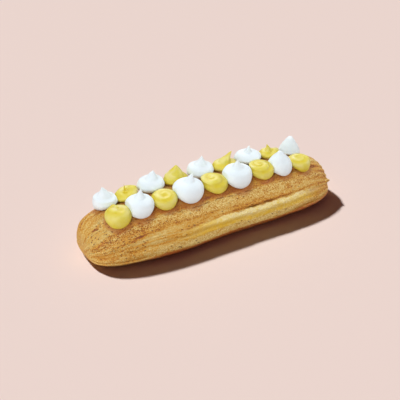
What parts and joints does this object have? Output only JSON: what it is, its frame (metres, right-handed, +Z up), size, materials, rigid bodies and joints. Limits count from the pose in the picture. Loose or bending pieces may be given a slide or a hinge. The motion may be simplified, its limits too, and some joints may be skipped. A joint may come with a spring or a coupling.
{
  "type": "lemon meringue eclair",
  "caption": "Finger of browned choux pastry, split along one side, topped with rows of piped white meringue and yellow lemon curd dollops in a checker pattern.",
  "frame": {"origin": "on the table, under the middle of the whole", "axes": "+X along the pastry's length, to the right when its split side faces the viewer; -Y towards the split side; +Z up"},
  "size_m": [0.14, 0.0426, 0.0362],
  "materials": {
    "crust": "baked choux crust: tan ridges with pores and small cracks, orange-brown furrows, a pale torn band under the split and a red-brown base edge",
    "meringue": "soft white meringue, satin, slightly translucent, with tiny air pits",
    "curd": "set lemon curd cream, glossy yellow, slightly translucent, with piped swirls"
  },
  "bodies": {
    "root": {"choux": "crust", "curd_front_1": "curd", "meringue_front_2": "meringue", "curd_front_3": "curd", "meringue_front_4": "meringue", "curd_front_5": "curd", "meringue_front_6": "meringue", "curd_front_7": "curd", "meringue_front_8": "meringue", "curd_front_9": "curd", "meringue_back_1": "meringue", "curd_back_2": "curd", "meringue_back_3": "meringue", "curd_back_4": "curd", "meringue_back_5": "meringue", "curd_back_6": "curd", "meringue_back_7": "meringue", "curd_back_8": "curd", "meringue_back_9": "meringue"}
  },
  "joints": []
}
